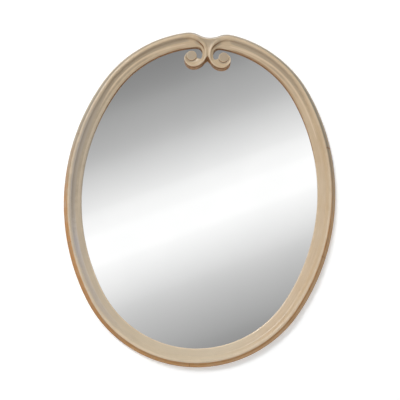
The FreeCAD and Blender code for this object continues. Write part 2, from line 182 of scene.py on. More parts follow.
# each group's first input is the vector it is laid out by
def placeGroup(tree, group, column, row, vector, values):
    return makeNode(tree, "ShaderNodeGroup", column, row, {0: vector, **values}, node_tree=group)


# stage: a white wall that sweeps forward into a pale floor, well below the view
stageLook = {
    "wallY": 0.0006, "top": 2.6, "floorZ": -1.5, "radius": 0.5, "steps": 12, "front": -7.5, "halfWidth": 5.0,
    "bounce": (0.6, 0.6, 0.6),
    "white": (0.9, 0.9, 0.9), "glow": 0.225, "glowColour": (0.92, 1.0, 1.03, 1),  # for camera and reflections
}


def addSweep():
    look = stageLook
    wallY, floorZ, radius = look["wallY"], look["floorZ"], look["radius"]
    outline = [(wallY, look["top"])]
    for step in range(look["steps"] + 1):
        angle = math.radians(90 * step / look["steps"])
        outline.append((wallY - radius * (1 - math.cos(angle)), floorZ + radius * (1 - math.sin(angle))))
    outline.append((look["front"], floorZ))
    points = [(x, y, z) for y, z in outline for x in (-look["halfWidth"], look["halfWidth"])]
    faces = [(2 * k + 2, 2 * k + 3, 2 * k + 1, 2 * k) for k in range(len(outline) - 1)]
    sweep = newPiece("sweep", points, faces)
    sweep.data.shade_smooth()
    material, tree, out = newMaterial("stageWhite")
    path = makeNode(tree, "ShaderNodeLightPath", 0, 2)
    side = makeNode(tree, "ShaderNodeNewGeometry", 0, 4)
    seen = calculate(tree, 1, 1, "MAXIMUM", (path, "Is Camera Ray"), (path, "Is Glossy Ray"))
    shade = mixColours(tree, 2, 0, look["bounce"], look["white"], (seen, 0))
    matt = makeNode(tree, "ShaderNodeBsdfDiffuse", 4, 0, {"Color": (shade, 2)})
    amount = calculate(tree, 3, 1, "MULTIPLY", (seen, 0), look["glow"])
    glow = makeNode(tree, "ShaderNodeEmission", 4, 1, {"Color": look["glowColour"], "Strength": (amount, 0)})
    bright = makeNode(tree, "ShaderNodeAddShader", 6, 0, {0: (matt, 0), 1: (glow, 0)})
    clear = makeNode(tree, "ShaderNodeBsdfTransparent", 6, 2)
    # lamps behind it reach the back of the mirror, and the back can be looked at
    through = calculate(tree, 6, 3, "MAXIMUM", (path, "Is Shadow Ray"), (side, "Backfacing"))
    shown = makeNode(tree, "ShaderNodeMixShader", 8, 0, {0: (through, 0), 1: (bright, 0), 2: (clear, 0)})
    join(tree, shown, 0, out, "Surface")
    sweep.data.materials.append(material)


# a lit card that only the mirror and other gloss can see
def newCard(name, look):
    low, high, halfWidth = look["low"], look["high"], look["halfWidth"]
    corners = ((-halfWidth, low), (-halfWidth, high), (halfWidth, high), (halfWidth, low))
    card = newPiece(name, [(x, look["y"], z) for x, z in corners], [(0, 1, 2, 3)])
    material, tree, out = newMaterial(name)
    card.data.materials.append(material)
    card.visible_camera = False
    card.visible_diffuse = False
    card.visible_shadow = False
    light = makeNode(tree, "ShaderNodeEmission", 10, 0, {"Strength": look["strength"]})
    return tree, out, light


# behind the camera, graded from a bright band
cardLook = {
    "y": -6.0, "halfWidth": 6.0, "low": -4.0, "high": 6.0, "strength": 1.06,
    "brightest": (-0.335, 0.0, 0.628), "slope": math.radians(-23.6), "reach": 1.35,
    "shades": ((0.0, 0.225), (0.12, 0.337), (0.26, 0.53), (0.39, 0.825), (0.46, 0.965),
               (0.5, 1.0), (0.565, 0.95), (0.70, 0.64), (0.87, 0.364), (1.0, 0.25)),
}


def addCard():
    look = cardLook
    tree, out, light = newCard("gradedCard", look)
    axis = (math.sin(-look["slope"]), 0, -math.cos(look["slope"]))
    centre = makeNode(tree, "ShaderNodeVectorMath", 2, 0, {0: objectPlace(tree), 1: look["brightest"]},
                      operation="SUBTRACT")
    along = makeNode(tree, "ShaderNodeVectorMath", 4, 0, {0: (centre, 0), 1: axis}, operation="DOT_PRODUCT")
    spread = remap(tree, 6, 0, (along, "Value"), span=(-look["reach"], look["reach"]))
    ramp = makeNode(tree, "ShaderNodeValToRGB", 8, 0, {"Fac": (spread, 0)})
    ramp.color_ramp.interpolation = "CARDINAL"
    stops = ramp.color_ramp.elements
    while len(stops) < len(look["shades"]):
        stops.new(0.5)
    for stop, (place, shade) in zip(stops, look["shades"]):
        stop.position = place
        stop.color = (shade, shade, shade, 1)
    join(tree, ramp, "Color", light, "Color")
    join(tree, light, 0, out, "Surface")


# below the view, to give the satin paint its highlights
stripLook = {"y": -5.9, "halfWidth": 3.0, "low": -2.2, "high": -0.5, "fade": 0.25, "strength": 3.0}


def addLowStrip():
    look = stripLook
    tree, out, light = newCard("lowStrip", look)
    parts = makeNode(tree, "ShaderNodeSeparateXYZ", 2, 0, {0: objectPlace(tree)})
    fade = remap(tree, 4, 0, (parts, "Z"), span=(look["high"], look["high"] - look["fade"]))
    clear = makeNode(tree, "ShaderNodeBsdfTransparent", 6, 2)
    shown = makeNode(tree, "ShaderNodeMixShader", 11, 0, {0: (fade, 0), 1: (clear, 0), 2: (light, 0)})
    join(tree, shown, 0, out, "Surface")


# light: a room that is brighter above on the left, a broad soft box in front on the same side, and a lamp
# behind for the back
lightLook = {
    "boxPlace": (-1.95, -4.60, 2.40), "boxSize": 1.1, "boxWatts": 156,
    "backPlace": (0.0, 3.0, 0.0), "backSize": 0.8, "backWatts": 60,
    "room": 0.185, "roomLeast": 0.04, "roomTilt": 0.66, "roomTowards": (-0.17, -0.34, 0.925),
}


def addLamp(name, place, size, watts):
    data = bpy.data.lights.new(name, "AREA")
    data.size = size
    data.energy = watts
    lamp = bpy.data.objects.new(name, data)
    lamp.matrix_world = Matrix.Translation(place) @ Vector(place).to_track_quat("Z", "Y").to_matrix().to_4x4()
    lamp.visible_camera = False
    scene.collection.objects.link(lamp)


def lightRoom():
    look = lightLook
    world = bpy.data.worlds.new("room")
    scene.world = world
    world.use_nodes = True
    tree = world.node_tree
    tree.nodes.clear()
    way = makeNode(tree, "ShaderNodeTexCoord", -2, 2)
    towards = makeNode(tree, "ShaderNodeVectorMath", 0, 2, {0: (way, "Generated"), 1: look["roomTowards"]},
                       operation="DOT_PRODUCT")
    level = calculate(tree, 2, 2, "MULTIPLY_ADD", (towards, "Value"), look["roomTilt"], look["room"])
    lowest = calculate(tree, 3, 2, "MAXIMUM", (level, 0), look["roomLeast"])
    path = makeNode(tree, "ShaderNodeLightPath", 0, 0)
    seen = calculate(tree, 2, 0, "MAXIMUM", (path, "Is Camera Ray"), (path, "Is Glossy Ray"))
    shown = calculate(tree, 4, 0, "MAXIMUM", (seen, 0), (path, "Is Transmission Ray"))
    dim = makeNode(tree, "ShaderNodeBackground", 4, 2, {"Color": (1, 1, 1, 1), "Strength": (lowest, 0)})
    white = makeNode(tree, "ShaderNodeBackground", 4, 4, {"Color": (1, 1, 1, 1), "Strength": 1.0})
    pick = makeNode(tree, "ShaderNodeMixShader", 6, 0, {0: (shown, 0), 1: (dim, 0), 2: (white, 0)})
    makeNode(tree, "ShaderNodeOutputWorld", 8, 0, {"Surface": (pick, 0)})


addSweep()
addCard()
addLowStrip()
addLamp("softBox", lightLook["boxPlace"], lightLook["boxSize"], lightLook["boxWatts"])
addLamp("backLamp", lightLook["backPlace"], lightLook["backSize"], lightLook["backWatts"])
lightRoom()
print("stage and light set")


# shared effects, as shader groups
def makePatches():
    group, start, end = newGroup(
        "patches",
        [("Vector", "Vector", None), ("Patch Size", "Float", 0.05), ("Seed", "Float", 0.0)],
        [("Mask", "Float")])
    scale = calculate(group, -2, 1, "DIVIDE", 1.0, (start, "Patch Size"))
    noise = makeNoise(group, 0, 0, (start, "Vector"), (scale, 0), (start, "Seed"), detail=3.0, roughness=0.55)
    stretch = remap(group, 3, 0, (noise, 0), span=(0.32, 0.68), smooth=True)
    join(group, stretch, 0, end, "Mask")
    return group


def makeStreaks():
    group, start, end = newGroup(
        "streaks",
        [("Run", "Vector", None), ("Length", "Float", 0.06), ("Width", "Float", 0.002),
         ("Seed", "Float", 0.0)],
        [("Mask", "Float"), ("Fine", "Float")])
    parts = makeNode(group, "ShaderNodeSeparateXYZ", -3, 0, {0: (start, "Run")})
    along = calculate(group, -1, 0, "DIVIDE", (parts, "X"), (start, "Length"))
    across = calculate(group, -1, 1, "DIVIDE", (parts, "Y"), (start, "Width"))
    grain = makeNode(group, "ShaderNodeCombineXYZ", 1, 0, {
        "X": (along, 0), "Y": (across, 0), "Z": (parts, "Z")})
    broad = makeNoise(group, 2, 0, (grain, 0), 1.0, (start, "Seed"), detail=4.0, roughness=0.6)
    fine = makeNoise(group, 2, 2, (grain, 0), 3.7, (start, "Seed"), detail=2.0, roughness=0.5)
    stretch = remap(group, 4, 0, (broad, 0), span=(0.3, 0.7))
    join(group, stretch, 0, end, "Mask")
    join(group, fine, 0, end, "Fine")
    return group


def makeEdgeRub():
    group, start, end = newGroup(
        "edgeRub",
        [("Vector", "Vector", None), ("Edge", "Float", 0.0), ("Breakup Size", "Float", 0.012),
         ("From", "Float", 0.2), ("To", "Float", 0.7)],
        [("Mask", "Float")])
    scale = calculate(group, -2, 1, "DIVIDE", 1.0, (start, "Breakup Size"))
    noise = makeNode(group, "ShaderNodeTexNoise", -1, 1, {
        "Vector": (start, "Vector"), "Scale": (scale, 0), "Detail": 3.0, "Roughness": 0.6})
    centred = calculate(group, 1, 1, "SUBTRACT", (noise, 0), 0.5)
    broken = calculate(group, 2, 0, "ADD", (start, "Edge"), (centred, 0))
    mask = remap(group, 4, 0, (broken, 0), span=((start, "From"), (start, "To")), smooth=True)
    join(group, mask, 0, end, "Mask")
    return group


patches = makePatches()
streaks = makeStreaks()
edgeRub = makeEdgeRub()

# thin satin paint on carved wood: pale where it is handled, umber above, thin on the outer wall,
# and gone where the wall turns down or the wood faces the floor; painted highlights lie on the ridges,
# painted shade in the hollows and on what faces the floor, and a painted cool reflection in the left hollow
paintLook = {
    "plain": (0.495, 0.415, 0.290), "warm": (0.460, 0.322, 0.180), "umber": (0.420, 0.300, 0.165),
    "dull": (0.375, 0.318, 0.238), "cool": (0.380, 0.374, 0.385), "cream": (0.650, 0.510, 0.350),
    "blush": (0.600, 0.440, 0.330), "hollow": (0.275, 0.220, 0.155), "thinCoat": (0.290, 0.255, 0.195),
    "bareWood": (0.755, 0.425, 0.175), "paleWood": (0.820, 0.565, 0.340), "darkGrain": (0.500, 0.250, 0.090),
    "shadedUnderside": (0.240, 0.105, 0.032),
    "warmTowards": (0.95, 0.0, 0.15), "warmSpan": (-0.02, 0.20), "umberSpan": (0.10, 0.38), "umberRight": 0.5,
    "coolSpot": (-0.350, -0.02, -0.07), "coolSpan": (0.44, 0.08), "uneven": (0.6, 1.1),
    "broad": {"Patch Size": 0.11, "Seed": 2.0}, "small": {"Patch Size": 0.018, "Seed": 5.0},
    "brush": {"Length": 0.075, "Width": 0.0022}, "grain": {"Length": 0.05, "Width": 0.0011, "Seed": 7.0},
    "rubAndHighlight": {"Breakup Size": 0.02, "From": 0.12, "To": 0.75},
    "dustAndShade": {"Breakup Size": 0.015, "From": 0.15, "To": 0.9},
    "strokeShare": 0.38, "lineShare": 0.2, "dirtAndShadeShare": 0.6, "rubShare": (0.8, 0.42), "underShare": 0.92,
    "ragged": 0.5, "satin": (0.30, 0.46), "dryRough": 0.5, "lacquer": 0.16, "fineRelief": 0.4,
    "reliefStrength": 0.35, "reliefDepth": 0.00012,
    "shader": {"IOR": 1.45, "Coat Roughness": 0.25},
}


def paintedWood():
    look = paintLook
    material, tree, out = newMaterial("paintedWood")
    place = objectPlace(tree)
    run = (makeNode(tree, "ShaderNodeAttribute", -8, 2, attribute_name="run"), "Vector")
    names = ("edge", "outer", "bare", "undersAndShade", "stainAndShade", "bleached", "valley")
    edge, outer, bare, undersAndShade, stainAndShade, bleached, valley = [
        (makeNode(tree, "ShaderNodeAttribute", -8, 3 + row, attribute_name=name), "Fac")
        for row, name in enumerate(names)]
    sunk = calculate(tree, -7, 5, "MULTIPLY", edge, -1.0)
    broad = (placeGroup(tree, patches, -6, 0, place, look["broad"]), "Mask")
    small = (placeGroup(tree, patches, -6, 1, place, look["small"]), "Mask")
    brush = placeGroup(tree, streaks, -6, 2, run, look["brush"])
    grain = (placeGroup(tree, streaks, -6, 3, run, look["grain"]), "Mask")
    rubAndHighlight = (placeGroup(tree, edgeRub, -6, 4, place, {"Edge": edge, **look["rubAndHighlight"]}), "Mask")
    dustyAndShaded = (placeGroup(tree, edgeRub, -6, 5, place, {"Edge": (sunk, 0), **look["dustAndShade"]}), "Mask")

    # where each tone of the paint lies
    parts = makeNode(tree, "ShaderNodeSeparateXYZ", -6, -4, {0: place})
    side = makeNode(tree, "ShaderNodeVectorMath", -6, -2, {0: place, 1: look["warmTowards"]},
                    operation="DOT_PRODUCT")
    away = makeNode(tree, "ShaderNodeVectorMath", -6, -3, {0: place, 1: look["coolSpot"]},
                    operation="DISTANCE")
    toRight = calculate(tree, -5.6, -5, "MAXIMUM", (parts, "X"), 0.0)
    tilted = calculate(tree, -5.3, -5, "MULTIPLY_ADD", (toRight, 0), look["umberRight"], (parts, "Z"))
    warmth = remap(tree, -5, -2, (side, "Value"), span=look["warmSpan"], smooth=True)
    chill = remap(tree, -5, -3, (away, "Value"), span=look["coolSpan"], smooth=True)
    aloft = remap(tree, -5, -4, (tilted, 0), span=look["umberSpan"], smooth=True)
    uneven = remap(tree, -5, -1, broad, onto=look["uneven"])
    # a painted cool reflection in the hollow on the left
    paintedCoolReflection = calculate(tree, -4.5, -3, "MULTIPLY", (chill, 0), valley)
    tone = look["plain"]
    for column, mask, colour in ((-4, warmth, "warm"), (-3, aloft, "umber"), (-2, chill, "dull"),
                                 (-1, paintedCoolReflection, "cool")):
        tone = mixColours(tree, column, 0, tone, look[colour], (mask, 0), (uneven, 0))

    # brush strokes, dirt and painted shade in the hollows, and edges rubbed pale with painted highlights,
    # less so out of reach
    handled = remap(tree, 2, 3, (aloft, 0), onto=look["rubShare"])
    tone = mixColours(tree, 0, 0, tone, look["cream"], (brush, "Mask"), look["strokeShare"])
    tone = mixColours(tree, 1, 0, tone, look["blush"], grain, look["lineShare"])
    # dirt and painted shade in the hollows
    tone = mixColours(tree, 2, 0, tone, look["hollow"], dustyAndShaded, look["dirtAndShadeShare"])
    # the rub mask also carries the painted highlights on the ridge and the sight edge
    tone = mixColours(tree, 3, 0, tone, look["cream"], rubAndHighlight, (handled, 0))

    # the outer wall and the undersides, which carry painted shade
    thinned = calculate(tree, 3, 2, "SUBTRACT", outer, bare, clamp=True)
    coated = mixColours(tree, 4, 0, tone, look["thinCoat"], (thinned, 0))
    fresh = mixColours(tree, 3, 5, look["bareWood"], look["paleWood"], bleached)
    dark = calculate(tree, 3, 4, "ADD", grain, stainAndShade, clamp=True)
    timber = mixColours(tree, 4, 4, fresh, look["darkGrain"], (dark, 0))
    ragged = calculate(tree, 2, 6, "MULTIPLY_ADD", small, look["ragged"], -look["ragged"] / 2)
    thin = calculate(tree, 3, 6, "ADD", bare, (ragged, 0), clamp=True)
    wood = mixColours(tree, 6, 0, coated, timber, (thin, 0), bare)
    colour = mixColours(tree, 7, 0, wood, look["shadedUnderside"], undersAndShade, look["underShare"])

    # satin where the paint is sound, dry elsewhere
    satin = remap(tree, 6, 3, small, onto=look["satin"])
    dry = calculate(tree, 5, 3, "MAXIMUM", outer, undersAndShade)
    rough = calculate(tree, 7, 3, "MULTIPLY_ADD", (dry, 0), look["dryRough"], (satin, 0), clamp=True)
    lacquer = calculate(tree, 8, 3, "MULTIPLY_ADD", (dry, 0), -look["lacquer"], look["lacquer"], clamp=True)
    relief = calculate(tree, 6, 4, "MULTIPLY_ADD", (brush, "Fine"), look["fineRelief"], (brush, "Mask"))
    gloss = {"Coat Weight": (lacquer, 0), **look["shader"]}
    finishSurface(tree, out, look, colour, rough, (relief, 0), gloss)
    return material


paint = paintedWood()
print("paint mixed")

# carved frame: one even skin over all six segments, so that they meet flush, then cut at their joints
carving = {
    "weld": 1e-6, "voxel": 0.0011, "softenPasses": 1, "softenShare": 0.5,
    "flush": 1e-5, "stilesFrom": 0.2, "middleWithin": 0.02,
    "eye": (0.0444, 0.3869), "scrollReach": 0.034, "stemWidth": 0.02, "stemFrom": 0.36,
    "runRadius": 0.4, "curlRadius": 0.03, "otherHand": 3.0, "arrisTurn": 0.09, "arrisPasses": 3,
}
toolMarks = {
    "Wave Length": 0.055, "Wave Depth": 0.0005, "Gouge Length": 0.013, "Gouge Depth": 0.00016,
    "Flat Behind": 0.0145, "Carved From": 0.0195, "Seed": 11.0,
}
segments = ("top_left_rail", "top_right_rail", "left_stile", "right_stile", "bottom_left_rail",
            "bottom_right_rail")


def newGeometryTree(name, inputs):
    tree = bpy.data.node_groups.new(name, "GeometryNodeTree")
    for label, kind in (("Geometry", "Geometry"), *inputs, ("Material", "Material")):
        tree.interface.new_socket(name=label, in_out="INPUT", socket_type="NodeSocket" + kind)
    tree.interface.new_socket(name="Geometry", in_out="OUTPUT", socket_type="NodeSocketGeometry")
    return tree, makeNode(tree, "NodeGroupInput", -4, 0)


def endGeometryTree(tree, start, last):
    real = makeNode(tree, "GeometryNodeRealizeInstances", 9, 0, {0: (last, 0)})
    finish = makeNode(tree, "GeometryNodeSetMaterial", 10, 0, {
        "Geometry": (real, 0), "Material": (start, "Material")})
    makeNode(tree, "NodeGroupOutput", 11, 0, {"Geometry": (finish, 0)})
    return tree


# shallow waves and gouge marks, cut inward and only on the carved front
def makeToolMarks():
    tree, start = newGeometryTree("toolMarks", [(label, "Float") for label in toolMarks])
    spot = (makeNode(tree, "GeometryNodeInputPosition", -4, 3), 0)
    normal = (makeNode(tree, "GeometryNodeInputNormal", 2, 4), 0)
    depths = []
    for row, label in ((1, "Wave"), (3, "Gouge")):
        scale = calculate(tree, -2, row, "DIVIDE", 1.0, (start, label + " Length"))
        noise = makeNoise(tree, 0, row, spot, (scale, 0), (start, "Seed"), detail=1.0, roughness=0.5)
        depths.append((calculate(tree, 2, row, "MULTIPLY", (noise, 0), (start, label + " Depth")), 0))
    total = calculate(tree, 4, 1, "ADD", *depths)
    parts = makeNode(tree, "ShaderNodeSeparateXYZ", -2, 6, {0: spot})
    forward = calculate(tree, 0, 6, "MULTIPLY", (parts, "Y"), -1.0)
    limits = ((start, "Flat Behind"), (start, "Carved From"))
    mask = remap(tree, 2, 6, (forward, 0), span=limits, smooth=True)
    inward = calculate(tree, 5, 2, "MULTIPLY", (total, 0), (mask, 0))
    cut = calculate(tree, 6, 2, "MULTIPLY", (inward, 0), -1.0)
    offset = makeNode(tree, "ShaderNodeVectorMath", 7, 2, {0: normal, "Scale": (cut, 0)}, operation="SCALE")
    move = makeNode(tree, "GeometryNodeSetPosition", 8, 0, {
        "Geometry": (start, "Geometry"), "Offset": (offset, 0)})
    return endGeometryTree(tree, start, move)


def setInputs(modifier, values):
    for item in modifier.node_group.interface.items_tree:
        if item.in_out == "INPUT" and item.name in values:
            modifier[item.identifier] = values[item.name]


def plainMesh(piece):
    depsgraph = bpy.context.evaluated_depsgraph_get()
    return bpy.data.meshes.new_from_object(piece.evaluated_get(depsgraph), depsgraph=depsgraph)


def carvedSkin():
    work = bmesh.new()
    for name in segments:
        work.from_mesh(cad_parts[name].data)
    bmesh.ops.remove_doubles(work, verts=work.verts, dist=carving["weld"])
    mesh = bpy.data.meshes.new("carvedSkin")
    work.to_mesh(mesh)
    work.free()
    piece = bpy.data.objects.new("carvedSkin", mesh)
    scene.collection.objects.link(piece)
    even = piece.modifiers.new("even", "REMESH")
    even.mode = "VOXEL"
    even.voxel_size = carving["voxel"]
    even.use_smooth_shade = True
    soften = piece.modifiers.new("soften", "SMOOTH")
    soften.factor = carving["softenShare"]
    soften.iterations = carving["softenPasses"]
    carve = piece.modifiers.new("toolMarks", "NODES")
    carve.node_group = makeToolMarks()
    setInputs(carve, {**toolMarks, "Material": paint})
    mesh = plainMesh(piece)
    bpy.data.objects.remove(piece)
    return mesh


skin = carvedSkin()
print("carved skin:", len(skin.polygons), "faces")


def readVectors(items, name):
    values = numpy.empty(len(items) * 3, dtype=numpy.float32)
    items.foreach_get(name, values)
    return values.reshape(-1, 3).astype(float)


def readIndices(items, name, each=1):
    values = numpy.empty(len(items) * each, dtype=numpy.int32)
    items.foreach_get(name, values)
    return values


def smoothstep(low, high, value):
    share = numpy.clip((value - low) / (high - low), 0, 1)
    return share * share * (3 - 2 * share)


# a function that averages what the neighbours of each point hold
def neighbourMean(mesh):
    ends = readIndices(mesh.edges, "vertices", 2)
    first, second = ends.reshape(-1, 2).T
    count = numpy.bincount(ends, minlength=len(mesh.vertices)).clip(1)

    def around(values):
        total = numpy.zeros_like(values)
        numpy.add.at(total, first, values[second])
        numpy.add.at(total, second, values[first])
        return (total.T / count).T

    return around


def blurred(values, around, passes):
    for _ in range(passes):
        values = (values + around(values)) / 2
    return values


# how sharply the surface turns at each point: 1 on an arris, -1 in a crease
def edgeMeasure(spots, normals, around):
    turn = ((spots - around(spots)) * normals).sum(axis=1)
    sharp = carving["voxel"] * carving["arrisTurn"]
    return numpy.clip(blurred(turn, around, carving["arrisPasses"]) / sharp, -1, 1)


# how far in from the oval's outer edge
def insetOf(spots):
    x, z = numpy.abs(spots[:, 0]), numpy.abs(spots[:, 2])
    onSide = z < (x - oval["sideCentreX"]) * math.tan(oval["junction"])
    side = oval["sideRadius"] - numpy.hypot(x - oval["sideCentreX"], z)
    end = oval["endRadius"] - numpy.hypot(x, z - oval["endCentreZ"])
    return numpy.where(onSide, side, end)


# the way the moulding runs, for grain and brush marks: x along it, y across it
def runOf(spots):
    x, y, z = spots.T
    hand = numpy.where(x < 0, 0.0, carving["otherHand"])
    angle = numpy.arctan2(numpy.abs(x), z)
    run = numpy.stack((angle * carving["runRadius"], insetOf(spots) + y, hand), axis=1)
    fromEye = numpy.stack((numpy.abs(x) - carving["eye"][0], z - carving["eye"][1]), axis=1)
    reach = numpy.hypot(*fromEye.T)
    curl = numpy.stack((numpy.arctan2(*fromEye.T) * carving["curlRadius"], reach + y, hand), axis=1)
    stem = numpy.stack((z, numpy.abs(x) + y, hand), axis=1)
    onStem = (numpy.abs(x) < carving["stemWidth"]) & (z > carving["stemFrom"])
    run = numpy.where(onStem[:, None], stem, run)
    return numpy.where((reach < carving["scrollReach"])[:, None], curl, run)


# handling, painted highlights and painted shade; a pair is where a ramp starts and ends, and a band has
# an inset and a half width
handlingAndPaintedLight = {
    "clearOfScrolls": (0.045, 0.085), "farLeft": (0.24, 0.31), "upper": (0.12, 0.27), "lower": (0.10, 0.30),
    "core": 0.3, "crest": (0.0148, 0.0045), "crestPolish": 0.33, "outOfReach": (0.12, 0.34), "reachLoss": 0.8,
    "ridge": 0.0325, "ridgeHalf": 0.0030, "ridgeHighlight": 1.5, "ridgeMoves": 0.006,
    "ridgeMoving": (0.36, 0.43), "sightEdge": (0.0492, 0.0022),
    "shadeTowards": (-0.5, 0.0, 0.85), "shade": (0.0, 0.25),
    "hollow": 0.0258, "hollowMoves": 0.0035, "hollowHalf": 0.0078, "hollowCore": 0.6, "hollowShade": 1.2,
    "beside": 0.006, "besideHalf": 0.004, "besideShade": 0.8, "besideEnds": (0.36, 0.41),
    "lip": (0.0475, 0.004), "lipPaintedShade": 0.7,
    "eyeEdge": (0.0125, 0.0150), "eyeDarkening": 0.9,
    "crown": (0.405, 0.430), "crownSides": (0.025, 0.045), "crownShade": 0.8,
}


# 0 round the scrolls, 1 along the rest of the moulding
def plainRun(spots):
    clear = smoothstep(*handlingAndPaintedLight["clearOfScrolls"], numpy.abs(spots[:, 0]))
    return numpy.where(spots[:, 2] < 0, 1.0, clear)


# hands have polished the crest; painted highlights lie on the ridge of the inner band above and on the
# sight edge below; painted shade lies in the hollow, beside the ridge and on the lip, where the moulding
# turns away from the light, and on the crown; the scrolls' eyes are darkened
def handledRunsAndPaintedLight(spots):
    at = handlingAndPaintedLight
    x, _, z = spots.T
    inset = insetOf(spots)
    far = smoothstep(*at["farLeft"], -x)
    upper = smoothstep(*at["upper"], z) * (1 - far)
    ridge = at["ridge"] + at["ridgeMoves"] * smoothstep(*at["ridgeMoving"], z)
    shade = smoothstep(*at["shade"], spots @ numpy.array(at["shadeTowards"]))
    reached = 1 - at["reachLoss"] * smoothstep(*at["outOfReach"], -x)

    def band(centre, half, core=at["core"]):
        return 1 - smoothstep(core * half, half, numpy.abs(inset - centre))

    polishAndHighlights = at["crestPolish"] * reached * band(*at["crest"])
    # painted highlights: the ridge of the inner band above and the sight edge below
    polishAndHighlights += at["ridgeHighlight"] * upper * band(ridge, at["ridgeHalf"])
    polishAndHighlights += smoothstep(*at["lower"], -z) * band(*at["sightEdge"])
    # painted shade in the hollow, beside the ridge and on the lip, where the moulding faces away from the
    # light
    hollow = band(at["hollow"] + at["hollowMoves"] * far, at["hollowHalf"], at["hollowCore"])
    beside = at["besideShade"] * (1 - smoothstep(*at["besideEnds"], z))
    beside *= band(ridge + at["beside"], at["besideHalf"])
    dustAndShade = shade * (at["hollowShade"] * hollow + beside + at["lipPaintedShade"] * band(*at["lip"]))
    # the scrolls' eyes are darkened; the crown between them carries painted shade
    fromEye = numpy.hypot(numpy.abs(x) - carving["eye"][0], z - carving["eye"][1])
    darkerEye = at["eyeDarkening"] * (1 - smoothstep(*at["eyeEdge"], fromEye))
    crown = smoothstep(*at["crown"], z) * (1 - smoothstep(*at["crownSides"], numpy.abs(x)))
    return plainRun(spots) * (polishAndHighlights - dustAndShade) - darkerEye - at["crownShade"] * crown


# the joints between segments: a point on each, the way it faces, and its side, which is 0 for the middle line
def jointPlanes():
    planes = [((0, 0, 0), (1, 0, 0), 0)]
    for hand in (-1, 1):
        for rise in (-1, 1):
            tilt = oval["stileHalfAngle"] * rise
            facing = (-hand * math.sin(tilt), 0, math.cos(tilt))
            planes.append(((hand * oval["sideCentreX"], 0, 0), facing, hand))
    return planes


# how far each point lies from the nearest joint between segments
def fromJoints(spots):
    gaps = []
    for spot, normal, hand in jointPlanes():
        gap = numpy.abs((spots - numpy.array(spot)) @ numpy.array(normal))
        gaps.append(numpy.where(spots[:, 0] * hand < 0, 1.0, gap))
    return numpy.min(gaps, axis=0)


# thin paint, stain and shade, in the same terms
thinning = {
    "wall": 0.0113, "wallEdge": 0.0005, "wallWidens": 0.0022, "wallWidening": (0.20, 0.36),
    "lower": (-0.8, 0.4), "coatKeptAsPaintedLight": 0.7, "coatInset": (0.004, 0.009),
    "openAbove": (0.05, 0.12), "openRight": (0.1, 0.3),
    "seamCore": 0.0002, "seamHalf": 0.0014, "seamOpens": 0.0012, "seamShade": 0.6, "seamDarkens": 0.4,
    "steep": (0.45, 0.88), "facesDown": (-0.05, 0.45), "underPasses": 4, "underEdge": (0.3, 0.7),
    "underLeft": (0.25, 0.33), "underLoss": 0.7,
    "lip": 0.0475, "lipHalf": (0.0012, 0.0040), "lipTowards": (0.35, 0.0, 0.94), "lipRun": (0.25, 0.42),
    "lipShade": 0.68, "foot": (0.0002, 0.0018), "footShade": 0.45, "arris": (0.006, 0.003),
    "stainLeft": (0.10, 0.36), "stainEdges": 0.6, "bleachedRight": (0.0, 0.22),
    "valley": 0.0265, "valleyHalf": (0.004, 0.009),
}


# where the paint is thin: the outer wall, its lower part worn bare, and what faces the floor; painted shade
# darkens what faces the floor, the lip above and the foot of the wall, and the stain adds painted shade on
# the left and under the arris
def wearMeasures(spots, normals, around):
    at = thinning
    x, _, z = spots.T
    inset = insetOf(spots)
    limit = at["wall"] + at["wallWidens"] * smoothstep(*at["wallWidening"], numpy.abs(x))
    outer = 1 - smoothstep(limit - at["wallEdge"], limit + at["wallEdge"], inset)
    lower = smoothstep(*at["lower"], -z / numpy.hypot(x, z))
    bare = outer * lower
    # near the foot above, the full paint is kept: painted light where the gap behind casts shade
    coated = outer * (1 - at["coatKeptAsPaintedLight"] * (1 - lower) * (1 - smoothstep(*at["coatInset"], inset)))
    opened = smoothstep(*at["openAbove"], z) * smoothstep(*at["openRight"], x)
    seam = 1 - smoothstep(at["seamCore"], at["seamHalf"] + at["seamOpens"] * opened, fromJoints(spots))
    seam *= at["seamShade"] + at["seamDarkens"] * opened
    steep = 1 - smoothstep(*at["steep"], numpy.abs(normals[:, 1]))
    undersAndShade = steep * (1 - outer) * smoothstep(*at["facesDown"], -normals[:, 2])
    undersAndShade = smoothstep(*at["underEdge"], blurred(undersAndShade, around, at["underPasses"]))
    undersAndShade *= 1 - at["underLoss"] * smoothstep(*at["underLeft"], -x)
    # painted shade on the lip above, where it faces away from the light
    lip = 1 - smoothstep(*at["lipHalf"], numpy.abs(inset - at["lip"]))
    lip *= plainRun(spots) * smoothstep(*at["lipRun"], spots @ numpy.array(at["lipTowards"]))
    # painted shade at the foot of the wall
    foot = 1 - smoothstep(*at["foot"], inset)
    # painted shadow line on the wall under the arris; the stain also darkens the left as painted shade
    arris = smoothstep(limit - at["arris"][0], limit - at["arris"][1], inset)
    shades = (undersAndShade, at["lipShade"] * lip, at["footShade"] * foot * bare, seam * outer)
    return {
        "outer": coated, "bare": bare, "undersAndShade": numpy.maximum.reduce(shades),
        "stainAndShade": smoothstep(*at["stainLeft"], -x) + at["stainEdges"] * numpy.maximum(foot, arris),
        "bleached": smoothstep(*at["bleachedRight"], x),
        "valley": 1 - smoothstep(*at["valleyHalf"], numpy.abs(inset - at["valley"])),
    }


def cutAtJoints(mesh):
    work = bmesh.new()
    work.from_mesh(mesh)
    for spot, normal, hand in jointPlanes():
        if hand:
            near = [face for face in work.faces if face.calc_center_median().x * hand > carving["stilesFrom"]]
        else:
            near = [face for face in work.faces if abs(face.calc_center_median().x) < carving["middleWithin"]]
        rim = {edge for face in near for edge in face.edges}
        points = {point for face in near for point in face.verts}
        bmesh.ops.bisect_plane(work, geom=list(points) + list(rim) + near, plane_co=spot, plane_no=normal)
    work.to_mesh(mesh)
    work.free()


